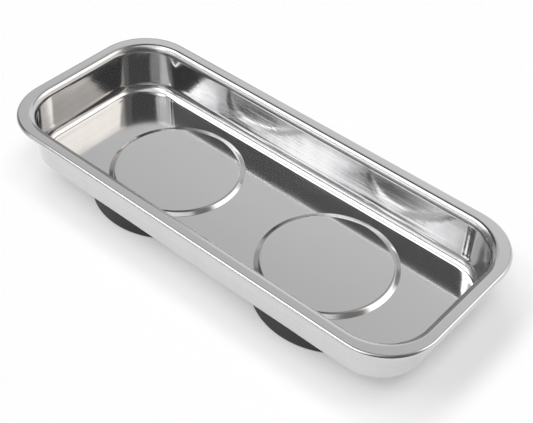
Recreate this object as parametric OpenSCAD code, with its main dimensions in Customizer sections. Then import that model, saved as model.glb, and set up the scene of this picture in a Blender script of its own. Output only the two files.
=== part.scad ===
// Long parts tray pressed from stainless sheet, standing on two rubber-covered magnet bases.
// Origin: on the surface that the tray stands on, under the middle of the tray. X runs along it, Z is up.

/* [Tray] */
// Length over the curled rim
tray_l = 240; // [225:1:300]
// Width over the curled rim
tray_w = 102; // [100:1:140]
// Depth from the rim's top down to the floor
tray_depth = 26.2; // [20:0.2:40]
// Thickness of the sheet
sheet_t = 0.7; // [0.5:0.05:1]
// Corner radius of the rim's outer edge, seen from above
rim_corner_r = 27.2; // [24:0.2:34]
// Corner radius of the walls at their top, seen from above
wall_corner_r = 22; // [20:0.5:24]
// Distance from the outer edge to where the flat rim starts to roll down, along the straight sides
rim_land = 4.4; // [3:0.1:5]
// Outer radius of the edge that is curled under
curl_r = 1.3; // [1.2:0.05:1.45]
// How far the curl runs round, in degrees
curl_sweep = 215; // [180:5:250]
// Radius of the roll from the rim into the wall
rim_roll_r = 3.7; // [2:0.1:5]
// Slope of the walls from upright, in degrees
wall_draft = 0.5; // [0.5:0.5:4]
// Radius of the fillet from the wall into the floor
floor_fillet_r = 4.6; // [3:0.1:6]

/* [Plateaus] */
// Distance between the centres of the two plateaus
plateau_spacing = 94; // [84:1:104]
// Radius of a plateau where its slope meets the floor
plateau_r = 33.5; // [28:0.5:34]
// Height of a plateau over the floor
plateau_rise = 1.2; // [0.8:0.05:1.6]
// Steepness of a plateau's slope, in degrees
plateau_slope = 25; // [22:1:35]
// Radius of the rounded shoulder at the top of the slope
shoulder_r = 4.2; // [2:0.1:4.4]
// Radius of the crease at the foot of the slope
foot_r = 0.8; // [0.3:0.1:1]

/* [Magnet bases] */
// How far each base sits outward from the middle of its plateau
base_offset = 5; // [0:0.5:5]
// Height of a base, from the surface up to the underside of the floor
base_h = 12.5; // [12:0.5:18]
// Outer radius of the rubber boot
boot_r = 38.8; // [37:0.2:40]
// Wall thickness of the rubber boot
boot_wall = 3.6; // [2.5:0.1:5]
// Thickness of the boot's web under the magnet
boot_web = 3; // [2.6:0.1:4]
// Rounding of the boot's lower edge
boot_edge_r = 1.5; // [0.5:0.1:2.4]
// Rounding of the boot's upper edge
boot_top_r = 0.6; // [0.3:0.1:1]
// Radius of the bore through the ring magnet
magnet_bore_r = 14; // [13.5:0.1:16]
// Bevel on the ring magnet's edges
magnet_bevel = 0.6; // [0.3:0.1:1]
// Gap between the magnet and the boot around it
magnet_clear = 0.2; // [0.1:0.05:0.4]
// Gap between the steel pole plate and the plateau's shoulder, where they come nearest
pole_plate_clear = 2.8; // [1:0.1:5]
// Radius of the clamp cup's flange
clamp_flange_r = 19.8; // [17.5:0.1:21]
// Outer radius of the clamp cup's well
clamp_well_r = 11.8; // [11:0.1:12.5]
// Sheet thickness of the clamp cup
clamp_t = 1.2; // [1:0.1:1.4]
// Outer bend radius of the clamp cup
clamp_bend_r = 1.8; // [1.5:0.1:2.2]
// Height of the clamp cup's flange over the surface that the tray stands on
clamp_lift = 0.6; // [0.3:0.1:1]
// Gap between the clamp cup's flange and the boot around it
clamp_clear = 0.5; // [0.2:0.1:1]

/* [Fasteners] */
// Thread diameter of the weld stud
stud_d = 6; // [5:0.5:6]
// Radius of the stud's weld flange
stud_flange_r = 4.5; // [4:0.1:5]
// Thickness of the stud's weld flange
stud_flange_t = 0.8; // [0.6:0.1:1]
// How far the stud's end stays off the surface that the tray stands on
stud_lift = 1.2; // [0.8:0.1:1.8]
// How far the stud stands out past the nut
stud_past_nut = 1; // [0.8:0.1:1.2]
// Bevel at the stud's end
stud_bevel = 0.7; // [0.3:0.1:1]
// Gap round the stud's flange in the pole plate
flange_clear = 0.5; // [0.3:0.1:1]
// Clearance round the stud in the parts that it passes through
stud_clear = 0.3; // [0.2:0.05:0.5]
// Gap between the stud and the bore of the nut
thread_clear = 0.1; // [0.05:0.05:0.2]
// Outer radius of the spacer bush
bush_r = 8; // [6:0.1:9]
// Width of the nut across its flats
nut_af = 10; // [9:0.5:11]
// Height of the nut
nut_h = 5; // [4:0.1:5.2]
// Slope of the nut's corner bevel, in degrees
nut_bevel = 30; // [20:1:35]
// Thickness of the spring washer
spring_t = 1.4; // [1:0.1:1.6]
// Width of the spring washer's section
spring_w = 2.4; // [1.8:0.1:2.6]
// Gap between the spring washer's ends, in degrees
spring_gap = 8; // [4:1:14]

/* [Hidden] */
$fn = 96;
// how far cutting shapes run past what they cut
over = 1;
// step that the walls' corner axes are placed to, so that the pieces of the sheet meet exactly
axis_step = 0.01;
// straight steps that bound a wedge of a ring, and how far past the ring they reach
wedge_steps = 8;
wedge_reach_share = 1.4;

// heights
floor_low_z = base_h;
floor_z = floor_low_z + sheet_t;
rim_z = floor_z + tray_depth;
plateau_z = floor_z + plateau_rise;
recess_z = plateau_z - sheet_t;

// tray section: corners of the sheet's upper side, as distances inward from the outer edge
wall_top_in = rim_land + rim_roll_r * cos(wall_draft);
wall_top_z = rim_z - rim_roll_r * (1 - sin(wall_draft));
wall_low_z = floor_z + floor_fillet_r * (1 - sin(wall_draft));
wall_low_in = wall_top_in + (wall_top_z - wall_low_z) * tan(wall_draft);
floor_in = wall_low_in + floor_fillet_r * cos(wall_draft);
// distance from the axis of a wall's corner to the rim's outer edge beside it, in whole steps
wall_axis_in = round((wall_top_in + wall_corner_r) / axis_step) * axis_step;

// plateau section
slope_arcs = shoulder_r + foot_r;
slope_run = (plateau_rise - slope_arcs * (1 - cos(plateau_slope))) / sin(plateau_slope);
plateau_top_r = plateau_r - slope_arcs * sin(plateau_slope) - slope_run * cos(plateau_slope);

// magnet base
base_x = plateau_spacing / 2 + base_offset;
pole_plate_r = plateau_top_r - base_offset - pole_plate_clear;
magnet_r = boot_r - boot_wall - magnet_clear;
clamp_flange_z = clamp_lift + clamp_t;
clamp_top_z = stud_lift + stud_past_nut + nut_h + spring_t;
bush_low_z = clamp_top_z + clamp_t;
stud_r = stud_d / 2;
well_in_r = clamp_well_r - clamp_t;

// a fan-shaped outline from angle a to angle b, larger than a ring of radius r
module wedge(r, a, b) {
    reach = r * wedge_reach_share;
    polygon(concat([[0, 0]], [
        for (i = [0 : wedge_steps])
            let (t = a + (b - a) * i / wedge_steps)
            [reach * cos(t), reach * sin(t)]
    ]));
}

// bent sheet: the part of a ring between two angles
module bend(r_out, thick, a, b) {
    intersection() {
        difference() {
            circle(r_out);
            circle(r_out - thick);
        }
        wedge(r_out, a, b);
    }
}

// the curled edge, drawn about the axis of the rim's corner
module curl_section()
    translate([rim_corner_r - curl_r, rim_z - curl_r])
        bend(curl_r, sheet_t, 90 - curl_sweep, 90);

// the sheet from the rim's roll to the foot of the floor fillet, drawn about the axis of the wall's corner
module wall_section() {
    // roll from the rim into the wall
    translate([wall_axis_in - rim_land, rim_z - rim_roll_r])
        bend(rim_roll_r, sheet_t, 90, 180 - wall_draft);
    // wall
    off = [sheet_t * cos(wall_draft), -sheet_t * sin(wall_draft)];
    top = [wall_axis_in - wall_top_in, wall_top_z];
    low = [wall_axis_in - wall_low_in, wall_low_z];
    polygon([top, low, low + off, top + off]);
    // fillet into the floor
    translate([wall_axis_in - floor_in, floor_z + floor_fillet_r])
        bend(floor_fillet_r + sheet_t, sheet_t, -90, -wall_draft);
}

module corner(x, y, turn)
    translate([x, y, 0])
        rotate([0, 0, turn])
            rotate_extrude(angle = 90)
                children();

// a straight side that starts at a corner's axis and runs along it
module side(length, x, y, turn)
    translate([x, y, 0])
        rotate([0, 0, turn])
            rotate([90, 0, 0])
                linear_extrude(height = length)
                    children();

// carries a section right round the tray; axis_in is how far the corners' axes lie inside the outer edge
module all_round(axis_in) {
    x = tray_l / 2 - axis_in;
    y = tray_w / 2 - axis_in;
    corner(x, y, 0) children();
    corner(-x, y, 90) children();
    corner(-x, -y, 180) children();
    corner(x, -y, 270) children();
    side(2 * y, x, y, 0) children();
    side(2 * x, -x, y, 90) children();
    side(2 * y, -x, -y, 180) children();
    side(2 * x, x, -y, 270) children();
}

// a flat plate between the heights low and high, with its edge at one distance inside the outer edge
module plate(axis_in, inset, low, high) {
    x = tray_l / 2 - axis_in;
    y = tray_w / 2 - axis_in;
    all_round(axis_in)
        translate([0, low])
            square([axis_in - inset, high - low]);
    translate([-x, -y, low])
        cube([2 * x, 2 * y, high - low]);
}

// half section of a plateau: flat top, rounded shoulder, slope and creased foot
module plateau_section() {
    translate([0, plateau_z - sheet_t])
        square([plateau_top_r, sheet_t]);
    translate([plateau_top_r, plateau_z - shoulder_r])
        bend(shoulder_r, sheet_t, 90 - plateau_slope, 90);
    shoulder_end = [
        plateau_top_r + shoulder_r * sin(plateau_slope),
        plateau_z - shoulder_r * (1 - cos(plateau_slope))
    ];
    foot_start = [
        plateau_r - foot_r * sin(plateau_slope),
        floor_z + foot_r * (1 - cos(plateau_slope))
    ];
    down = [-sheet_t * sin(plateau_slope), -sheet_t * cos(plateau_slope)];
    polygon([shoulder_end, foot_start, foot_start + down, shoulder_end + down]);
    translate([plateau_r, floor_z + foot_r])
        bend(foot_r + sheet_t, sheet_t, 270 - plateau_slope, 270);
}

module tray() color([0.78, 0.78, 0.79]) {
    all_round(rim_corner_r) curl_section();
    // flat rim, which is wider at the corners
    difference() {
        plate(rim_corner_r, curl_r, rim_z - sheet_t, rim_z);
        plate(wall_axis_in, rim_land, rim_z - sheet_t - over, rim_z + over);
    }
    all_round(wall_axis_in) wall_section();
    // floor, open where the plateaus rise
    difference() {
        plate(wall_axis_in, floor_in, floor_low_z, floor_z);
        for (s = [-1, 1])
            translate([s * plateau_spacing / 2, 0, floor_low_z - over])
                cylinder(r = plateau_r, h = sheet_t + 2 * over);
    }
    for (s = [-1, 1])
        translate([s * plateau_spacing / 2, 0, 0])
            rotate_extrude()
                plateau_section();
}

// threaded stud, with the flange that is welded under the plateau
module weld_stud() color([0.72, 0.72, 0.74])
    rotate_extrude()
        polygon([
            [0, stud_lift],
            [stud_r - stud_bevel, stud_lift],
            [stud_r, stud_lift + stud_bevel],
            [stud_r, recess_z - stud_flange_t],
            [stud_flange_r, recess_z - stud_flange_t],
            [stud_flange_r, recess_z],
            [0, recess_z]
        ]);

// steel disc that lies in the recess under the plateau, round the stud's flange
module pole_plate() color([0.6, 0.61, 0.63])
    translate([0, 0, floor_low_z])
        linear_extrude(height = recess_z - floor_low_z)
            difference() {
                circle(pole_plate_r);
                circle(stud_flange_r + flange_clear);
            }

module ring_magnet() color([0.24, 0.24, 0.25])
    rotate_extrude()
        polygon([
            [magnet_bore_r + magnet_bevel, boot_web],
            [magnet_r - magnet_bevel, boot_web],
            [magnet_r, boot_web + magnet_bevel],
            [magnet_r, floor_low_z - magnet_bevel],
            [magnet_r - magnet_bevel, floor_low_z],
            [magnet_bore_r + magnet_bevel, floor_low_z],
            [magnet_bore_r, floor_low_z - magnet_bevel],
            [magnet_bore_r, boot_web + magnet_bevel]
        ]);

// collar that keeps the clamping load off the magnet
module spacer_bush() color([0.66, 0.66, 0.68])
    translate([0, 0, bush_low_z])
        linear_extrude(height = floor_low_z - bush_low_z)
            difference() {
                circle(bush_r);
                circle(stud_r + stud_clear);
            }

// moulded cover: an open cup with its wall round the magnet and a stepped hole for the clamp cup
module rubber_boot() color([0.16, 0.16, 0.17])
    rotate_extrude()
        difference() {
            union() {
                translate([0, boot_edge_r])
                    square([boot_r, floor_low_z - boot_edge_r - boot_top_r]);
                square([boot_r - boot_edge_r, boot_edge_r]);
                translate([boot_r - boot_edge_r, boot_edge_r])
                    circle(boot_edge_r);
                translate([0, floor_low_z - boot_top_r])
                    square([boot_r - boot_top_r, boot_top_r]);
                translate([boot_r - boot_top_r, floor_low_z - boot_top_r])
                    circle(boot_top_r);
            }
            translate([-over, boot_web])
                square([over + boot_r - boot_wall, floor_low_z]);
            translate([-over, -over])
                square([over + magnet_bore_r, boot_web + 2 * over]);
            translate([-over, -over])
                square([over + clamp_flange_r + clamp_clear, over + clamp_flange_z]);
        }

// pressed cup: the flange grips the boot's web, and the well takes the washer and the nut
module clamp_cup() color([0.7, 0.7, 0.72])
    rotate_extrude() {
        bend_in_r = clamp_bend_r - clamp_t;
        // flange
        translate([clamp_well_r + bend_in_r, clamp_lift])
            square([clamp_flange_r - clamp_well_r - bend_in_r, clamp_t]);
        // bend from the flange up into the well
        translate([clamp_well_r + bend_in_r, clamp_flange_z + bend_in_r])
            bend(clamp_bend_r, clamp_t, 180, 270);
        // side of the well
        translate([well_in_r, clamp_flange_z + bend_in_r])
            square([clamp_t, bush_low_z - clamp_bend_r - clamp_flange_z - bend_in_r]);
        // bend over the top of the well
        translate([clamp_well_r - clamp_bend_r, bush_low_z - clamp_bend_r])
            bend(clamp_bend_r, clamp_t, 0, 90);
        // top of the well, round the stud
        translate([stud_r + stud_clear, clamp_top_z])
            square([clamp_well_r - clamp_bend_r - stud_r - stud_clear, clamp_t]);
    }

module spring_washer() color([0.62, 0.62, 0.64])
    rotate([0, 0, spring_gap / 2])
        rotate_extrude(angle = 360 - spring_gap)
            translate([stud_r + stud_clear, clamp_top_z - spring_t])
                square([spring_w, spring_t]);

// hexagon nut with its corners bevelled on both faces
module hex_nut() color([0.74, 0.74, 0.76]) {
    corner_r = nut_af / 2 / cos(30);
    low_z = clamp_top_z - spring_t - nut_h;
    bevel_h = (corner_r - nut_af / 2) * tan(nut_bevel);
    difference() {
        intersection() {
            translate([0, 0, low_z])
                cylinder(r = corner_r, h = nut_h, $fn = 6);
            rotate_extrude()
                polygon([
                    [0, low_z],
                    [nut_af / 2, low_z],
                    [corner_r, low_z + bevel_h],
                    [corner_r, low_z + nut_h - bevel_h],
                    [nut_af / 2, low_z + nut_h],
                    [0, low_z + nut_h]
                ]);
        }
        translate([0, 0, low_z - over])
            cylinder(r = stud_r + thread_clear, h = nut_h + 2 * over);
    }
}

module left_base() translate([-base_x, 0, 0]) children();
module right_base() translate([base_x, 0, 0]) children();

tray();
left_base() weld_stud();  // left_weld_stud
right_base() weld_stud();  // right_weld_stud
left_base() pole_plate();  // left_pole_plate
right_base() pole_plate();  // right_pole_plate
left_base() ring_magnet();  // left_ring_magnet
right_base() ring_magnet();  // right_ring_magnet
left_base() spacer_bush();  // left_spacer_bush
right_base() spacer_bush();  // right_spacer_bush
left_base() rubber_boot();  // left_rubber_boot
right_base() rubber_boot();  // right_rubber_boot
left_base() clamp_cup();  // left_clamp_cup
right_base() clamp_cup();  // right_clamp_cup
left_base() spring_washer();  // left_spring_washer
right_base() spring_washer();  // right_spring_washer
left_base() hex_nut();  // left_hex_nut
right_base() hex_nut();  // right_hex_nut
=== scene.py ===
import math

import bmesh
import bpy
from mathutils import Matrix, Vector
from mathutils.geometry import delaunay_2d_cdt


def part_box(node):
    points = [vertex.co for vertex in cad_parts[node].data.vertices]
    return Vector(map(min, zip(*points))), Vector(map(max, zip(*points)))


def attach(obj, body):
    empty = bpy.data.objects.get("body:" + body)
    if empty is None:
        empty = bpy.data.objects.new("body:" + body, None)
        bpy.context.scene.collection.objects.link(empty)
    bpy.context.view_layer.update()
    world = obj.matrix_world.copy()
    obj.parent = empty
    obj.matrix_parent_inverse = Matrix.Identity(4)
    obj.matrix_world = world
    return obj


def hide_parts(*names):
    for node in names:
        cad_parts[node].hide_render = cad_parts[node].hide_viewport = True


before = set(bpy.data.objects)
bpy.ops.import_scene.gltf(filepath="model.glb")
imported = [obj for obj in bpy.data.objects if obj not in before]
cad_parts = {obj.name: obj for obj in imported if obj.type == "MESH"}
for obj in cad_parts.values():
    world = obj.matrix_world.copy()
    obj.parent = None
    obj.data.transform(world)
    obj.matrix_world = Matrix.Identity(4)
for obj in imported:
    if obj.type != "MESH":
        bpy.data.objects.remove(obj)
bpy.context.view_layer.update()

mm = 0.001
print("frame loaded:", len(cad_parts), "nodes")


# camera: placed by the rim's outline, the floor circles and the edges of the bases
photoView = {
    "azimuth": 38.792,          # degrees round from the front, towards +X
    "elevation": 43.162,
    "roll": 2.949,
    "distance": 487.48,         # mm, from the aim point
    "aim": (21.799, -14.375),   # mm, on the plane of the rim's top
    "focalPixels": 1110.18,
    "imageWidth": 533,
    "sensorWidth": 36.0,
    "clipNear": 0.01,           # m
    "clipFar": 50.0,
}


def makeCamera(view, aimHeight):
    az, el, roll = (math.radians(view[k]) for k in ("azimuth", "elevation", "roll"))
    back = Vector((math.sin(az) * math.cos(el), -math.cos(az) * math.cos(el), math.sin(el)))
    right = Vector((math.cos(az), math.sin(az), 0))
    up = back.cross(right)
    rolledRight = right * math.cos(roll) + up * math.sin(roll)
    rolledUp = up * math.cos(roll) - right * math.sin(roll)
    data = bpy.data.cameras.new("photoCamera")
    data.sensor_fit = "HORIZONTAL"
    data.sensor_width = view["sensorWidth"]
    data.lens = view["focalPixels"] * view["sensorWidth"] / view["imageWidth"]
    data.clip_start = view["clipNear"]
    data.clip_end = view["clipFar"]
    camera = bpy.data.objects.new("photoCamera", data)
    aim = Vector((view["aim"][0] * mm, view["aim"][1] * mm, aimHeight))
    turn = Matrix((rolledRight, rolledUp, back)).transposed()
    camera.matrix_world = Matrix.Translation(aim + back * view["distance"] * mm) @ turn.to_4x4()
    bpy.context.scene.collection.objects.link(camera)
    bpy.context.scene.camera = camera


trayLow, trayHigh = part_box("tray")
makeCamera(photoView, trayHigh.z)
print("camera placed")


# shader helpers

def addNode(tree, kind, place=(0, 0), inputs=None, **settings):
    node = tree.nodes.new(kind)
    node.location = place
    for key, value in settings.items():
        setattr(node, key, value)
    for name, value in (inputs or {}).items():
        node.inputs[name].default_value = value
    return node


def wire(tree, source, target):
    tree.links.new(source, target)


def feed(tree, given, socket):
    # a number or a colour is set on the socket, and another node's output is wired to it
    if isinstance(given, (int, float)):
        socket.default_value = given
    elif isinstance(given, tuple):
        socket.default_value = (*given, 1)
    else:
        wire(tree, given, socket)


def mixValues(tree, factor, first, second):
    node = addNode(tree, "ShaderNodeMix", (-200, 0), data_type="FLOAT")
    for index, given in ((0, factor), (2, first), (3, second)):
        feed(tree, given, node.inputs[index])
    return node.outputs[0]


def mixColours(tree, factor, first, second):
    node = addNode(tree, "ShaderNodeMix", (-200, 300), data_type="RGBA")
    for index, given in ((0, factor), (6, first), (7, second)):
        feed(tree, given, node.inputs[index])
    return node.outputs[2]


def mixShaders(tree, place, factor, first, second):
    node = addNode(tree, "ShaderNodeMixShader", place)
    for socket, given in zip(node.inputs, (factor, first, second)):
        wire(tree, given, socket)
    return node.outputs[0]


def mathNode(tree, operation, *values):
    node = addNode(tree, "ShaderNodeMath", (-200, -200), operation=operation)
    for socket, given in zip(node.inputs, values):
        feed(tree, given, socket)
    return node.outputs[0]


def rangeNode(tree, value, start, end, kind="SMOOTHSTEP"):
    # 0 at start and 1 at end
    node = addNode(tree, "ShaderNodeMapRange", (-100, 0), interpolation_type=kind)
    for name, given in (("Value", value), ("From Min", start), ("From Max", end)):
        feed(tree, given, node.inputs[name])
    return node.outputs["Result"]


def emptyTree(owner, outputKind):
    owner.use_nodes = True
    tree = owner.node_tree
    tree.nodes.clear()
    return tree, addNode(tree, outputKind, (1200, 0)).inputs["Surface"]


def newGroup(name, takes, gives):
    tree = bpy.data.node_groups.new(name, "ShaderNodeTree")
    for label, kind, value in takes:
        socket = tree.interface.new_socket(name=label, in_out="INPUT", socket_type=kind)
        if value is not None:
            socket.default_value = value
    for label, kind in gives:
        tree.interface.new_socket(name=label, in_out="OUTPUT", socket_type=kind)
    return tree, addNode(tree, "NodeGroupInput", (-900, 0)), addNode(tree, "NodeGroupOutput", (700, 0))


def makeStretchedGrain():
    # noise drawn out along chosen axes, for brushing, drawing marks and rolled grain
    tree, given, out = newGroup(
        "stretchedGrain",
        [("Position", "NodeSocketVector", None), ("Stretch", "NodeSocketVector", (1, 1, 1)),
         ("Scale", "NodeSocketFloat", 100.0), ("Detail", "NodeSocketFloat", 3.0),
         ("Low", "NodeSocketFloat", 0.3), ("High", "NodeSocketFloat", 0.7)],
        [("Grain", "NodeSocketFloat")])
    stretch = addNode(tree, "ShaderNodeVectorMath", (-650, 0), operation="MULTIPLY")
    noise = addNode(tree, "ShaderNodeTexNoise", (-400, 0))
    wire(tree, given.outputs["Position"], stretch.inputs[0])
    wire(tree, given.outputs["Stretch"], stretch.inputs[1])
    wire(tree, stretch.outputs[0], noise.inputs["Vector"])
    wire(tree, given.outputs["Scale"], noise.inputs["Scale"])
    wire(tree, given.outputs["Detail"], noise.inputs["Detail"])
    spread = rangeNode(tree, noise.outputs["Fac"], given.outputs["Low"], given.outputs["High"], "LINEAR")
    wire(tree, spread, out.inputs["Grain"])
    return tree


def makeFacing():
    # how far a surface faces along a given axis, from 0 to 1, whichever way round
    tree, given, out = newGroup(
        "facing",
        [("Axis", "NodeSocketVector", (0, 0, 1)), ("From", "NodeSocketFloat", 0.5),
         ("To", "NodeSocketFloat", 0.9)],
        [("Mask", "NodeSocketFloat")])
    geometry = addNode(tree, "ShaderNodeNewGeometry", (-700, -200))
    dot = addNode(tree, "ShaderNodeVectorMath", (-500, 0), operation="DOT_PRODUCT")
    wire(tree, geometry.outputs["Normal"], dot.inputs[0])
    wire(tree, given.outputs["Axis"], dot.inputs[1])
    size = mathNode(tree, "ABSOLUTE", dot.outputs["Value"])
    wire(tree, rangeNode(tree, size, given.outputs["From"], given.outputs["To"]), out.inputs["Mask"])
    return tree


stretchedGrain = makeStretchedGrain()
facing = makeFacing()


def startMaterial(name, metallic, baseColour, roughness):
    material = bpy.data.materials.new(name)
    tree, surface = emptyTree(material, "ShaderNodeOutputMaterial")
    shader = addNode(tree, "ShaderNodeBsdfPrincipled", (600, 0), inputs={
        "Metallic": metallic, "Base Color": (*baseColour, 1), "Roughness": roughness})
    wire(tree, shader.outputs[0], surface)
    position = addNode(tree, "ShaderNodeTexCoord", (-1200, 0)).outputs["Object"]
    return material, tree, shader, position


def grainNode(tree, position, stretch, scale, detail=3.0, low=0.3, high=0.7):
    node = addNode(tree, "ShaderNodeGroup", (-900, 0), node_tree=stretchedGrain, inputs={
        "Stretch": stretch, "Scale": scale, "Detail": detail, "Low": low, "High": high})
    wire(tree, position, node.inputs["Position"])
    return node.outputs["Grain"]


def facingUp(tree, start, end):
    node = addNode(tree, "ShaderNodeGroup", (-900, -300), node_tree=facing, inputs={
        "Axis": (0, 0, 1), "From": start, "To": end})
    return node.outputs["Mask"]


def addBump(tree, shader, height, distance, strength=1.0):
    bump = addNode(tree, "ShaderNodeBump", (300, -300), inputs={"Strength": strength, "Distance": distance})
    wire(tree, height, bump.inputs["Height"])
    wire(tree, bump.outputs["Normal"], shader.inputs["Normal"])


# pressed stainless: floor close to a mirror, walls satin from the drawing, vertical marks in the corners
stainlessLook = {
    "colour": (0.660, 0.660, 0.664),
    "dullColour": (0.590, 0.590, 0.596),
    "wallDulling": 0.8,             # how much of the dull colour the marks bring to the wall
    "floorDulling": 0.25,           # and the blotches to the floor
    "floorRoughness": 0.105,
    "floorVaries": (0.8, 1.2),      # times its roughness, from blotch to blotch
    "wallRoughness": 0.075,
    "streakRoughness": 0.025,
    "topRoughness": 0.05,           # added where the wall nears the rim
    "bendRoughness": 0.16,          # added on the rounded edges, the most worked and so the softest
    "bumpDepth": 0.000004,          # m, times each of the next three
    "floorWaves": 1.0,
    "wallWaves": 26.0,
    "wallMarks": 5.0,
    "smoothFrom": 0.030,            # m, the relief fades out over these heights: rim and curl are smooth
    "smoothTo": 0.0355,
    "floorFacing": (0.72, 0.97),    # how far up a surface faces where the floor's finish starts, and is full
    "bendFacing": (0.45, 0.95),     # and where a rounded edge starts and ends
    "brushed": {"stretch": (0.04, 0.04, 1.8), "scale": 420.0},
    "drawn": {"stretch": (1.0, 1.0, 0.06), "scale": 170.0},
    "drawnShare": 0.35,             # of the drawing marks, against the brushing
    "blotch": {"stretch": (1.0, 1.0, 1.0), "scale": 22.0, "detail": 2.0},
    "waves": {"stretch": (0.6, 0.6, 1.0), "scale": 45.0, "detail": 2.0},
}


def makeStainless(look):
    material, tree, shader, position = startMaterial(
        "polishedStainless", 1.0, look["colour"], look["floorRoughness"])
    brushed, drawn, blotch, waves = (
        grainNode(tree, position, **look[name]) for name in ("brushed", "drawn", "blotch", "waves"))
    marks = mixValues(tree, look["drawnShare"], brushed, drawn)
    flat = facingUp(tree, *look["floorFacing"])
    turned = facingUp(tree, *look["bendFacing"])
    split = addNode(tree, "ShaderNodeSeparateXYZ", (-900, -600))
    wire(tree, position, split.inputs[0])
    below = rangeNode(tree, split.outputs["Z"], look["smoothTo"], look["smoothFrom"])

    wallRough = mixValues(tree, marks, look["wallRoughness"] - look["streakRoughness"],
                          look["wallRoughness"] + look["streakRoughness"])
    wallRough = mathNode(tree, "ADD", wallRough, mixValues(tree, below, look["topRoughness"], 0.0))
    floorRough = mixValues(tree, blotch, *(look["floorRoughness"] * share for share in look["floorVaries"]))
    plain = mixValues(tree, flat, wallRough, floorRough)
    # a mask times its opposite is 1/4 at most, half way round a bend
    bend = mathNode(tree, "MULTIPLY", turned, mathNode(tree, "SUBTRACT", 1.0, turned))
    rough = mathNode(tree, "MULTIPLY_ADD", bend, look["bendRoughness"] * 4, plain)
    wire(tree, rough, shader.inputs["Roughness"])

    dulled = mixValues(tree, flat, mathNode(tree, "MULTIPLY", marks, look["wallDulling"]),
                       mathNode(tree, "MULTIPLY", blotch, look["floorDulling"]))
    wire(tree, mixColours(tree, dulled, look["colour"], look["dullColour"]), shader.inputs["Base Color"])

    # a grain runs from 0 to 1, so its middle is taken off before it is scaled
    waved = mathNode(tree, "SUBTRACT", waves, 0.5)
    marked = mathNode(tree, "SUBTRACT", marks, 0.5)
    marked = mathNode(tree, "MULTIPLY", marked, mixValues(tree, flat, look["wallMarks"], 0.0))
    waveDepth = mixValues(tree, flat, look["wallWaves"], look["floorWaves"])
    relief = mathNode(tree, "MULTIPLY_ADD", waved, waveDepth, marked)
    addBump(tree, shader, mathNode(tree, "MULTIPLY", relief, below), look["bumpDepth"])
    return material


# matte moulded rubber, dulled a little by dust
rubberLook = {
    "colour": (0.032, 0.032, 0.033),
    "dustColour": (0.074, 0.073, 0.071),
    "dustShare": 0.55,
    "roughness": 0.62,
    "roughnessVaries": (-0.08, 0.16),   # from clean to dusty
    "specular": 0.4,
    "poreDepth": 0.00005,               # m
    "poreStrength": 0.6,
    "dust": {"stretch": (1.0, 1.0, 1.6), "scale": 60.0, "detail": 5.0, "low": 0.42, "high": 0.75},
    "pores": {"stretch": (1.0, 1.0, 1.0), "scale": 2600.0, "detail": 2.0},
}


def makeRubber(look):
    material, tree, shader, position = startMaterial("mouldedRubber", 0.0, look["colour"], look["roughness"])
    dust = grainNode(tree, position, **look["dust"])
    pores = grainNode(tree, position, **look["pores"])
    dusted = mathNode(tree, "MULTIPLY", dust, look["dustShare"])
    wire(tree, mixColours(tree, dusted, look["colour"], look["dustColour"]), shader.inputs["Base Color"])
    rough = mixValues(tree, dust, *(look["roughness"] + change for change in look["roughnessVaries"]))
    wire(tree, rough, shader.inputs["Roughness"])
    shader.inputs["Specular IOR Level"].default_value = look["specular"]
    addBump(tree, shader, pores, look["poreDepth"], look["poreStrength"])
    return material


# hard metals of the fixings, one recipe with its own values for each
metalLooks = {
    "zincPlate": {"colour": (0.56, 0.58, 0.62), "dark": (0.42, 0.43, 0.46), "metallic": 1.0,
                  "roughness": 0.26, "scale": 420.0, "stretch": (1, 1, 1), "bump": 0.000012},
    "turnedSteel": {"colour": (0.44, 0.44, 0.45), "dark": (0.28, 0.28, 0.29), "metallic": 1.0,
                    "roughness": 0.34, "scale": 700.0, "stretch": (1, 1, 6), "bump": 0.00001},
    "springSteel": {"colour": (0.20, 0.20, 0.21), "dark": (0.11, 0.11, 0.12), "metallic": 1.0,
                    "roughness": 0.38, "scale": 500.0, "stretch": (1, 1, 1), "bump": 0.00001},
    "groundFerrite": {"colour": (0.060, 0.060, 0.063), "dark": (0.035, 0.035, 0.037), "metallic": 0.25,
                      "roughness": 0.55, "scale": 900.0, "stretch": (1, 1, 1), "bump": 0.00003},
}
# what they share: fineness of the grain, size of the clouds in it, and how roughness goes with both
metalVariation = {"grainDetail": 4.0, "cloudScale": 90.0, "cloudShare": 0.5, "roughnessVaries": (-0.06, 0.1)}


def makeMetal(name, look, variation):
    material, tree, shader, position = startMaterial(
        name, look["metallic"], look["colour"], look["roughness"])
    grain = grainNode(tree, position, look["stretch"], look["scale"], variation["grainDetail"])
    cloud = grainNode(tree, position, (1, 1, 1), variation["cloudScale"])
    blended = mixValues(tree, variation["cloudShare"], grain, cloud)
    wire(tree, mixColours(tree, blended, look["colour"], look["dark"]), shader.inputs["Base Color"])
    rough = mixValues(tree, blended, *(look["roughness"] + change for change in variation["roughnessVaries"]))
    wire(tree, rough, shader.inputs["Roughness"])
    addBump(tree, shader, grain, look["bump"])
    return material


stainless = makeStainless(stainlessLook)
rubber = makeRubber(rubberLook)
metals = {name: makeMetal(name, look, metalVariation) for name, look in metalLooks.items()}
print("materials made")


# mesh helpers: sections are lists of (radius, height) in mm

def arc(centre, radius, start, end, steps):
    return [(centre[0] + radius * math.cos(math.radians(a)), centre[1] + radius * math.sin(math.radians(a)))
            for a in (start + (end - start) * i / steps for i in range(steps + 1))]


def addPiece(name, mesh, material, slot, *nodes):
    mesh.materials.append(material)
    piece = bpy.data.objects.new(name, mesh)
    bpy.context.scene.collection.objects.link(piece)
    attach(piece, "root")
    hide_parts(*nodes)


def roundAngles(count):
    return [2 * math.pi * i / count for i in range(count)]


def turnedVert(shape, centreX, radius, angle, height):
    x, y = centreX + radius * math.cos(angle), radius * math.sin(angle)
    return shape.verts.new((x * mm, y * mm, height * mm))


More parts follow.
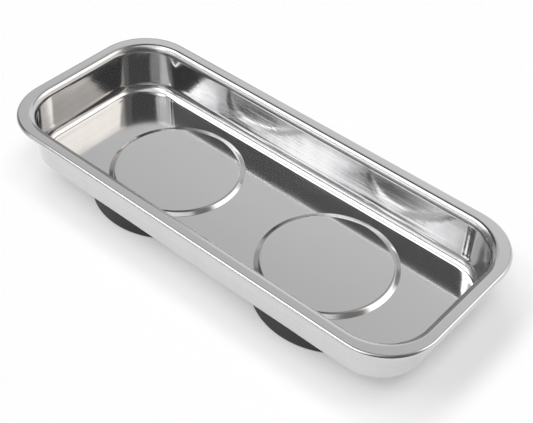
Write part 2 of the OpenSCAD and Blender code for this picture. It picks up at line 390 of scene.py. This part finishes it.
def turnedRing(shape, centreX, radius, height, segments):
    return [turnedVert(shape, centreX, radius, a, height) for a in roundAngles(segments)]


def joinRings(shape, rings):
    for first, second in zip(rings, rings[1:]):
        for i in range(len(first)):
            j = (i + 1) % len(first)
            shape.faces.new([first[i], first[j], second[j], second[i]])


def finishTurned(shape, name, sharpAngle):
    bmesh.ops.recalc_face_normals(shape, faces=shape.faces)
    mesh = bpy.data.meshes.new(name)
    shape.to_mesh(mesh)
    shape.free()
    mesh.shade_smooth()
    mesh.set_sharp_from_angle(angle=math.radians(sharpAngle))
    return mesh


def revolve(name, profile, segments, centreX, sharpAngle):
    # closed section, clear of the axis, turned once round the vertical at centreX
    shape = bmesh.new()
    rings = [turnedRing(shape, centreX, radius, height, segments) for radius, height in profile]
    joinRings(shape, [*rings, rings[0]])
    return finishTurned(shape, name, sharpAngle)


# tray: the sizes are those of its CAD solid, in mm and degrees; length, width and heights come from its box
trayShape = {
    "sheet": 0.7, "rimCornerR": 27.2, "wallCornerR": 22.0, "rimLand": 4.4, "curlR": 1.3, "curlSweep": 215.0,
    "rollR": 3.7, "draft": 0.5, "leanTop": 0.2, "leanFoot": 4.2, "filletR": 4.6,
    "plateauSpacing": 94.0, "plateauR": 33.5, "plateauRise": 1.2, "plateauSlope": 25.0,
    "shoulderR": 4.2, "footR": 0.8,
    "cornerSteps": 30, "longSteps": 40, "shortSteps": 14, "circleSteps": 160,
    "curlSteps": 30, "rollSteps": 20, "wallSteps": 10, "filletSteps": 20, "footSteps": 8, "shoulderSteps": 12,
}


def roundStations(halfL, halfW, axisIn, shape):
    # one (centre x, centre y, direction x, direction y) for each place round the tray
    x, y = halfL - axisIn, halfW - axisIn
    centres = [(x, y), (-x, y), (-x, -y), (x, -y)]
    stations = []
    for k, (cx, cy) in enumerate(centres):
        for i in range(shape["cornerSteps"] + 1):
            a = math.radians(90 * k + 90 * i / shape["cornerSteps"])
            stations.append((cx, cy, math.cos(a), math.sin(a)))
        # straight side to the next corner
        nextX, nextY = centres[(k + 1) % 4]
        steps = shape["longSteps"] if k % 2 == 0 else shape["shortSteps"]
        a = math.radians(90 * (k + 1))
        for t in (i / steps for i in range(1, steps)):
            stations.append((cx + (nextX - cx) * t, cy + (nextY - cy) * t, math.cos(a), math.sin(a)))
    return stations


def traySection(shape, rimZ, floorZ):
    # the sheet's upper side from the end of the curl to the floor, as points of
    # (uses the wall's axes, radius, height, normal out, normal up), and how far in those axes lie
    draft = math.radians(shape["draft"])
    rollR, filletR, curlR = shape["rollR"], shape["filletR"], shape["curlR"]
    wallTopIn = shape["rimLand"] + rollR * math.cos(draft)
    wallTopZ = rimZ - rollR * (1 - math.sin(draft))
    wallLowZ = floorZ + filletR * (1 - math.sin(draft))
    wallLowIn = wallTopIn + (wallTopZ - wallLowZ) * math.tan(draft)
    floorIn = wallLowIn + filletR * math.cos(draft)
    wallAxisIn = wallTopIn + shape["wallCornerR"]
    section = []

    def addArc(onWall, centre, radius, start, end, steps, sign):
        for i in range(steps + 1):
            a = math.radians(start + (end - start) * i / steps)
            c, s = math.cos(a), math.sin(a)
            section.append((onWall, centre[0] + radius * c, centre[1] + radius * s, sign * c, sign * s))

    addArc(False, (shape["rimCornerR"] - curlR, rimZ - curlR), curlR,
           90 - shape["curlSweep"], 90, shape["curlSteps"], 1)
    addArc(True, (wallAxisIn - shape["rimLand"], rimZ - rollR), rollR,
           90, 180 - shape["draft"], shape["rollSteps"], 1)
    # the drawn wall catches light as if it leaned a little more than it does, most of all near its foot
    for t in (i / shape["wallSteps"] for i in range(1, shape["wallSteps"])):
        lean = math.radians(shape["leanTop"] + (shape["leanFoot"] - shape["leanTop"]) * t)
        section.append((True, wallAxisIn - wallTopIn - (wallLowIn - wallTopIn) * t,
                        wallTopZ + (wallLowZ - wallTopZ) * t, -math.cos(lean), math.sin(lean)))
    addArc(True, (wallAxisIn - floorIn, floorZ + filletR), filletR,
           -shape["draft"], -90, shape["filletSteps"], -1)
    return section, wallAxisIn


def plateauSection(shape, floorZ):
    # a plateau's upper side, foot, slope and shoulder: points of (radius, height, normal out, normal up)
    slope = math.radians(shape["plateauSlope"])
    footR, shoulderR = shape["footR"], shape["shoulderR"]
    arcs = shoulderR + footR
    slopeRun = (shape["plateauRise"] - arcs * (1 - math.cos(slope))) / math.sin(slope)
    topR = shape["plateauR"] - arcs * math.sin(slope) - slopeRun * math.cos(slope)
    topZ = floorZ + shape["plateauRise"]
    section = []
    for i in range(shape["footSteps"] + 1):
        a = math.radians(270) - slope * i / shape["footSteps"]
        c, s = math.cos(a), math.sin(a)
        section.append((shape["plateauR"] + footR * c, floorZ + footR * (1 + s), -c, -s))
    for i in range(shape["shoulderSteps"] + 1):
        a = math.radians(90) - slope * (1 - i / shape["shoulderSteps"])
        c, s = math.cos(a), math.sin(a)
        section.append((topR + shoulderR * c, topZ - shoulderR * (1 - s), c, s))
    return section, topZ


def makeTray(shape):
    halfL, halfW = trayHigh.x / mm, trayHigh.y / mm
    rimZ, floorZ = trayHigh.z / mm, trayLow.z / mm + shape["sheet"]
    section, wallAxisIn = traySection(shape, rimZ, floorZ)
    rimStations = roundStations(halfL, halfW, shape["rimCornerR"], shape)
    wallStations = roundStations(halfL, halfW, wallAxisIn, shape)
    # upper and lower side of the sheet: how deep in it, and which way it faces
    sheetSides = ((0.0, 1), (shape["sheet"], -1))
    verts, normals, faces, faceNormals = [], [], [], []

    def addVert(x, y, z, n):
        verts.append((x * mm, y * mm, z * mm))
        normals.append(Vector(n).normalized())
        return len(verts) - 1

    def addFace(corners, sign=1, flatNormal=None):
        faces.append(corners if sign > 0 else corners[::-1])
        faceNormals.append(flatNormal)

    def addRing(point, stations, depth, sign):
        r, z, nr, nz = point
        rr, zz = r - depth * nr, z - depth * nz
        return [addVert(cx + rr * dx, cy + rr * dy, zz, (sign * nr * dx, sign * nr * dy, sign * nz))
                for cx, cy, dx, dy in stations]

    def addBands(rings, sign):
        for first, second in zip(rings, rings[1:]):
            for i in range(len(first)):
                j = (i + 1) % len(first)
                addFace([first[i], first[j], second[j], second[i]], sign)

    swept = {sign: [addRing(point, wallStations if onWall else rimStations, depth, sign)
                    for onWall, *point in section] for depth, sign in sheetSides}
    for sign, rings in swept.items():
        addBands(rings, sign)
    # the sheet's cut edge, at the end of the curl
    upper, lower = swept[1][0], swept[-1][0]
    for i in range(len(upper)):
        j = (i + 1) % len(upper)
        corners = [lower[i], lower[j], upper[j], upper[i]]
        p = [Vector(verts[k]) for k in corners]
        addFace(corners, flatNormal=(p[1] - p[0]).cross(p[3] - p[0]).normalized())

    # plateaus, each closed by a flat top
    rise, plateauZ = plateauSection(shape, floorZ)
    plateauCentres = [side * shape["plateauSpacing"] / 2 for side in (-1, 1)]
    floorLoops = {sign: [rings[-1]] for sign, rings in swept.items()}
    for centreX in plateauCentres:
        circle = [(centreX, 0, math.cos(a), math.sin(a)) for a in roundAngles(shape["circleSteps"])]
        for depth, sign in sheetSides:
            rings = [addRing(point, circle, depth, sign) for point in rise]
            addBands(rings, sign)
            hub = addVert(centreX, 0, plateauZ - depth, (0, 0, sign))
            top = rings[-1]
            for i in range(len(top)):
                addFace([top[i], top[(i + 1) % len(top)], hub], sign)
            floorLoops[sign].append(rings[0])

    # floor: one flat field between the fillet's foot and the two circles, on both sides of the sheet
    for sign, loops in floorLoops.items():
        ids = [k for loop in loops for k in loop]
        edges, start = [], 0
        for loop in loops:
            edges += [(start + i, start + (i + 1) % len(loop)) for i in range(len(loop))]
            start += len(loop)
        points = [Vector(verts[k][:2]) / mm for k in ids]
        wholeHull, closeness = 0, 1e-7
        spots, _, triangles, sources, _, _ = delaunay_2d_cdt(points, edges, [], wholeHull, closeness, True)
        for tri in triangles:
            centre = sum((spots[k] for k in tri), Vector((0, 0))) / 3
            if any((centre - Vector((centreX, 0))).length < shape["plateauR"] for centreX in plateauCentres):
                continue
            corners = [ids[sources[k][0]] for k in tri]
            a, b, c = (Vector(verts[k]) for k in corners)
            facesUp = (b - a).cross(c - a).z > 0
            addFace(corners, 1 if facesUp == (sign > 0) else -1)

    mesh = bpy.data.meshes.new("traySheet")
    mesh.from_pydata(verts, [], faces)
    mesh.validate()
    mesh.shade_smooth()
    mesh.normals_split_custom_set([flatNormal or normals[k]
                                   for polygon, flatNormal in zip(mesh.polygons, faceNormals)
                                   for k in polygon.vertices])
    return mesh


addPiece("traySheet", makeTray(trayShape), stainless, "polished_stainless", "tray")
print("tray made")


# magnet bases, in mm and degrees: boot, clamp cup and stud of each, round the vertical axis of the base
baseShape = {
    "bootR": 38.8, "bootWall": 3.6, "bootWeb": 3.0, "bootEdgeR": 1.5, "bootTopR": 0.6, "holeR": 14.0,
    "stepR": 20.3, "stepZ": 1.8, "bootSoftR": 0.25,         # small radius on the moulding's other edges
    "clampFlangeR": 19.8, "clampWellR": 11.8, "clampT": 1.2, "clampBendR": 1.8, "clampLift": 0.6,
    "clampTopZ": 8.6, "clampEdgeR": 0.2,                    # broken edge of the punched sheet
    "studR": 3.0, "studHoleR": 3.3, "studLift": 1.2, "studBevel": 0.7, "studFlangeR": 4.5, "studFlangeT": 0.8,
    "threadPitch": 1.0, "threadDepth": 0.6, "threadFade": 1.0, "threadRows": 10,    # rows of points to a turn
    "crestInset": 0.02, "flankSteepness": 2.2,              # over 2, so the crests are a little flat
    "bootEdgeSteps": 10, "bootTopSteps": 6, "bootSoftSteps": 4,
    "clampEdgeSteps": 3, "innerBendSteps": 6, "outerBendSteps": 8,
    "bootSegments": 160, "clampSegments": 96, "studSegments": 48, "sharpAngle": 35.0, "studSharpAngle": 50.0,
}


def bootProfile(s, topZ):
    inner, edge, top = s["bootR"] - s["bootWall"], s["bootEdgeR"], s["bootTopR"]
    soft, softSteps = s["bootSoftR"], s["bootSoftSteps"]
    profile = arc((s["bootR"] - edge, edge), edge, -90, 0, s["bootEdgeSteps"])
    profile += arc((s["bootR"] - top, topZ - top), top, 0, 90, s["bootTopSteps"])
    profile += arc((inner + soft, topZ - soft), soft, 90, 180, softSteps)
    profile += [(inner, s["bootWeb"])]
    profile += arc((s["holeR"] + soft, s["bootWeb"] - soft), soft, 90, 180, softSteps)
    profile += [(s["holeR"], s["stepZ"]), (s["stepR"], s["stepZ"])]
    profile += arc((s["stepR"] + soft, soft), soft, 180, 270, softSteps)
    return profile


def clampProfile(s):
    t, bend, edge = s["clampT"], s["clampBendR"], s["clampEdgeR"]
    inner, wellIn = bend - t, s["clampWellR"] - t
    flangeZ, topZ = s["clampLift"] + t, s["clampTopZ"] + t
    edgeSteps, innerSteps, outerSteps = s["clampEdgeSteps"], s["innerBendSteps"], s["outerBendSteps"]
    profile = arc((s["clampFlangeR"] - edge, s["clampLift"] + edge), edge, -90, 0, edgeSteps)
    profile += arc((s["clampFlangeR"] - edge, flangeZ - edge), edge, 0, 90, edgeSteps)
    profile += arc((s["clampWellR"] + inner, flangeZ + inner), inner, 270, 180, innerSteps)
    profile += arc((s["clampWellR"] - bend, topZ - bend), bend, 0, 90, outerSteps)
    profile += [(s["studHoleR"], topZ), (s["studHoleR"], s["clampTopZ"])]
    profile += arc((s["clampWellR"] - bend, topZ - bend), inner, 90, 0, innerSteps)
    profile += [(wellIn, flangeZ + inner)]
    profile += arc((s["clampWellR"] + inner, flangeZ + inner), bend, 180, 270, outerSteps)
    return profile


def makeStud(name, s, centreX, topZ):
    # the thread runs up the shank and fades out below the weld flange
    segments, fade = s["studSegments"], s["threadFade"]
    lowZ, shankTop = s["studLift"], topZ - s["studFlangeT"]
    rows = int((shankTop - lowZ) / s["threadPitch"] * s["threadRows"])
    shape = bmesh.new()
    rings = []
    for z in (lowZ + (shankTop - lowZ) * k / rows for k in range(rows + 1)):
        ring = []
        for turn in (i / segments for i in range(segments)):
            phase = ((z - lowZ) / s["threadPitch"] - turn) % 1.0
            cut = min(1.0, s["flankSteepness"] * abs(phase - 0.5))   # 0 in the groove's root, 1 on the crest
            runOut = min(1.0, max(0.0, (shankTop - fade - z) / fade))
            radius = s["studR"] - s["crestInset"] - s["threadDepth"] * (1 - cut) * runOut
            radius = min(radius, s["studR"] - s["studBevel"] + (z - lowZ))
            ring.append(turnedVert(shape, centreX, radius, 2 * math.pi * turn, z))
        rings.append(ring)
    rings += [turnedRing(shape, centreX, s["studFlangeR"], z, segments) for z in (shankTop, topZ)]
    joinRings(shape, rings)
    shape.faces.new(rings[0][::-1])
    shape.faces.new(rings[-1])
    return finishTurned(shape, name, s["studSharpAngle"])


for side in ("left", "right"):
    low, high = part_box(side + "_rubber_boot")
    centreX = (low.x + high.x) / 2 / mm
    bootTop = high.z / mm
    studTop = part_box(side + "_weld_stud")[1].z / mm
    boot = revolve(side + "Boot", bootProfile(baseShape, bootTop), baseShape["bootSegments"], centreX,
                   baseShape["sharpAngle"])
    clampCup = revolve(side + "ClampCup", clampProfile(baseShape), baseShape["clampSegments"], centreX,
                       baseShape["sharpAngle"])
    stud = makeStud(side + "WeldStud", baseShape, centreX, studTop)
    addPiece(side + "Boot", boot, rubber, "black_rubber", side + "_rubber_boot")
    addPiece(side + "ClampCup", clampCup, metals["zincPlate"], "zinc_steel", side + "_clamp_cup")
    addPiece(side + "WeldStud", stud, metals["zincPlate"], "zinc_steel", side + "_weld_stud")
print("bases made")


# nodes that keep their CAD shape
keptNodes = {"pole_plate": "turnedSteel", "ring_magnet": "groundFerrite", "spacer_bush": "turnedSteel",
             "spring_washer": "springSteel", "hex_nut": "zincPlate"}
for side in ("left", "right"):
    for part, look in keptNodes.items():
        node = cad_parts[side + "_" + part]
        node.data.materials.clear()
        node.data.materials.append(metals[look])
print("kept nodes given their metals")


# studio: white ground, even light, and for reflections a pale sweep, a long box overhead and dark flags
studio = {
    "groundSize": 8.0,          # m
    "groundDrop": 0.05,         # mm under the feet, so that they show from below
    "groundColour": 1.0,        # as the camera and mirrors see it
    "groundBounce": 0.8,        # as it lights the object
    "groundGlow": 0.27,         # share of plain white over it for the camera, and for mirrors
    "mirroredGlow": 0.5,
    "fill": 0.24,               # even light from all round
    "keyPower": 0.745,          # what all lamps lay on the ground, as a share of plain white
    "keyAngle": 17.0,           # degrees, as the next two
    "keySides": (-16.0, 16.0),
    "keyLeans": (-34.0, -16.0, 2.0),
    "keyDistance": 2.5,         # m, straight up from the ground
    "open": 0.22,               # brightness where no card stands
    "warmPlace": (10, 80, 8, 70, 20, 12, 1.0),      # a warmer side, laid out as the cards are
    "warmColour": (1.04, 0.98, 0.92),
    # each card: up from, up to, side from, side to, soft edge up, soft edge sideways, brightness.
    # "up" runs in degrees from +Y over the top to -Y, "side" is how far the direction leans to +X
    "cards": [
        (-60, 69, -95, 95, 12, 4, 0.62),        # sweep behind
        (-60, 48, -46, 95, 20, 6, 0.9),         # brighter towards its foot
        (5, 41, -60, -31, 6, 6, 0.28),          # its dim left side
        (46, 82, -95, -48, 8, 4, 0.42),
        (34, 47, -19, -6, 6, 6, 0.82),          # dimmer again, with a seam in it
        (36, 66, -13, -4, 8, 4, 0.3),
        (40, 68, 6, 38, 8, 5, 2.0),             # window at the right
        (64, 89, -52, -10, 7, 4, 0.08),         # gap between the sweep and the box
        (88, 153, -48, -36, 2, 3, 0.8),         # long box, dim at its left
        (88, 153, -37, 4, 2, 3, 3.8),
        (88, 101, -37, -12, 4, 3, 1.9),         # dimmer overhead
        (86, 117, -15, 6, 4, 6, 1.0),
        (134, 153, -37, -12, 2, 3, 2.4),        # and towards its lower end
        (134, 153, -18.6, 4, 2, 2, 1.0),
        (134, 143, -34.4, -32.9, 2, 0.6, 4.8),  # a lamp in it, at the left
        (84, 142, 4, 12, 4, 5, 0.9),            # its soft right edge
        (153, 166, -50, 12, 6, 6, 0.8),         # box's lower end, falling off
        (166, 186, -95, 95, 6, 6, 0.4),
        (92, 178, 15, 95, 6, 6, 0.12),          # open side of the room
        (142, 150, 2, 26, 2, 8, 0.5),
        (80, 130, -95, -47, 5, 3, 0.2),
        (119, 134, -37, -10, 2, 2, 0.15),       # flag in front of the box
        (133, 157, -39, -34.4, 2, 1, 0.03),     # four hanging in it
        (133, 143, -32.8, -29.9, 2, 0.6, 0.02),
        (133, 138.5, -30.2, -28.2, 2, 0.6, 0.02),
        (133, 140.5, -24.5, -20.3, 2, 0.6, 0.02),
    ],
}


def makeGround(s):
    half = s["groundSize"] / 2
    low = -s["groundDrop"] * mm
    corners = [(x * half, y * half, low) for x, y in ((-1, -1), (1, -1), (1, 1), (-1, 1))]
    mesh = bpy.data.meshes.new("ground")
    mesh.from_pydata(corners, [], [(0, 1, 2, 3)])
    material = bpy.data.materials.new("ground")
    tree, surface = emptyTree(material, "ShaderNodeOutputMaterial")
    shader = addNode(tree, "ShaderNodeBsdfDiffuse", (300, 0))
    glow = addNode(tree, "ShaderNodeEmission", (300, -200))
    path = addNode(tree, "ShaderNodeLightPath", (-600, 0))
    seen, mirrored = path.outputs["Is Camera Ray"], path.outputs["Is Glossy Ray"]
    direct = mathNode(tree, "MAXIMUM", seen, mirrored)
    wire(tree, mixValues(tree, direct, s["groundBounce"], s["groundColour"]), shader.inputs["Color"])
    glowing = mathNode(tree, "MAXIMUM", mathNode(tree, "MULTIPLY", seen, s["groundGlow"]),
                       mathNode(tree, "MULTIPLY", mirrored, s["mirroredGlow"]))
    lit = mixShaders(tree, (600, 0), glowing, shader.outputs[0], glow.outputs[0])
    # from below it is left out of sight
    fromBelow = addNode(tree, "ShaderNodeNewGeometry", (600, 300)).outputs["Backfacing"]
    clear = addNode(tree, "ShaderNodeBsdfTransparent", (600, -300)).outputs[0]
    wire(tree, mixShaders(tree, (900, 0), fromBelow, lit, clear), surface)
    mesh.materials.append(material)
    ground = bpy.data.objects.new("ground", mesh)
    bpy.context.scene.collection.objects.link(ground)


def makeSoftCard():
    # one card of light or dark, laid over the brightness that comes in
    labels = ("UpFrom", "UpTo", "SideFrom", "SideTo", "UpEdge", "SideEdge", "Level")
    tree, given, out = newGroup(
        "softCard",
        [(label, "NodeSocketFloat", None) for label in ("Up", "Side", "Behind", *labels)],
        [("Level", "NodeSocketFloat")])
    masks = []
    for axis in ("Up", "Side"):
        for edge, way in (("From", 1), ("To", -1)):
            apart = mathNode(tree, "SUBTRACT", given.outputs[axis], given.outputs[axis + edge])
            inside = mathNode(tree, "MULTIPLY", apart, way)
            scaled = mathNode(tree, "DIVIDE", inside, given.outputs[axis + "Edge"])
            masks.append(rangeNode(tree, scaled, -0.5, 0.5))    # half of a soft edge lies outside the card
    mask = masks[0]
    for other in masks[1:]:
        mask = mathNode(tree, "MULTIPLY", mask, other)
    wire(tree, mixValues(tree, mask, given.outputs["Behind"], given.outputs["Level"]), out.inputs["Level"])
    return tree, labels


def makeWorld(s):
    world = bpy.data.worlds.new("studio")
    bpy.context.scene.world = world
    tree, surface = emptyTree(world, "ShaderNodeOutputWorld")
    direction = addNode(tree, "ShaderNodeTexCoord", (-1200, 0)).outputs["Generated"]
    split = addNode(tree, "ShaderNodeSeparateXYZ", (-1000, 0))
    wire(tree, direction, split.inputs[0])
    up = mathNode(tree, "DEGREES", mathNode(tree, "ARCTAN2", split.outputs["Z"], split.outputs["Y"]))
    side = mathNode(tree, "DEGREES", mathNode(tree, "ARCSINE", split.outputs["X"]))
    softCard, labels = makeSoftCard()

    def layCard(card, behind):
        node = addNode(tree, "ShaderNodeGroup", (-400, 0), node_tree=softCard, inputs=dict(zip(labels, card)))
        for label, given in (("Up", up), ("Side", side), ("Behind", behind)):
            feed(tree, given, node.inputs[label])
        return node.outputs["Level"]

    level = s["open"]
    for card in s["cards"]:
        level = layCard(card, level)
    warmth = layCard(s["warmPlace"], 0.0)
    shine = addNode(tree, "ShaderNodeBackground", (200, 200))
    wire(tree, level, shine.inputs["Strength"])
    wire(tree, mixColours(tree, warmth, (1.0, 1.0, 1.0), s["warmColour"]), shine.inputs["Color"])
    even = addNode(tree, "ShaderNodeBackground", (200, 0), inputs={
        "Color": (1, 1, 1, 1), "Strength": s["fill"]})
    white = addNode(tree, "ShaderNodeBackground", (200, -200), inputs={"Color": (1, 1, 1, 1)})
    path = addNode(tree, "ShaderNodeLightPath", (200, 500))
    mirrored = mathNode(tree, "MAXIMUM", path.outputs["Is Glossy Ray"], path.outputs["Is Transmission Ray"])
    lit = mixShaders(tree, (600, 0), mirrored, even.outputs[0], shine.outputs[0])
    wire(tree, mixShaders(tree, (900, 0), path.outputs["Is Camera Ray"], lit, white.outputs[0]), surface)


def makeKeys(s):
    # far lamps in two rows from front to back, one row at either end of the tray
    places = [(side, lean) for side in s["keySides"] for lean in s["keyLeans"]]
    for k, (side, lean) in enumerate(places):
        data = bpy.data.lights.new("key" + str(k + 1), "SUN")
        data.angle = math.radians(s["keyAngle"])
        place = Vector((math.tan(math.radians(side)), math.tan(math.radians(lean)), 1)) * s["keyDistance"]
        # strength that lights the ground to its share of keyPower times a plain white
        data.energy = s["keyPower"] / len(places) * math.pi * place.length / place.z
        lamp = bpy.data.objects.new(data.name, data)
        lamp.matrix_world = Matrix.Translation(place) @ place.to_track_quat("Z", "Y").to_matrix().to_4x4()
        lamp.visible_glossy = False
        bpy.context.scene.collection.objects.link(lamp)


makeGround(studio)
makeWorld(studio)
makeKeys(studio)
bpy.context.scene.view_settings.view_transform = "Standard"
print("studio made")
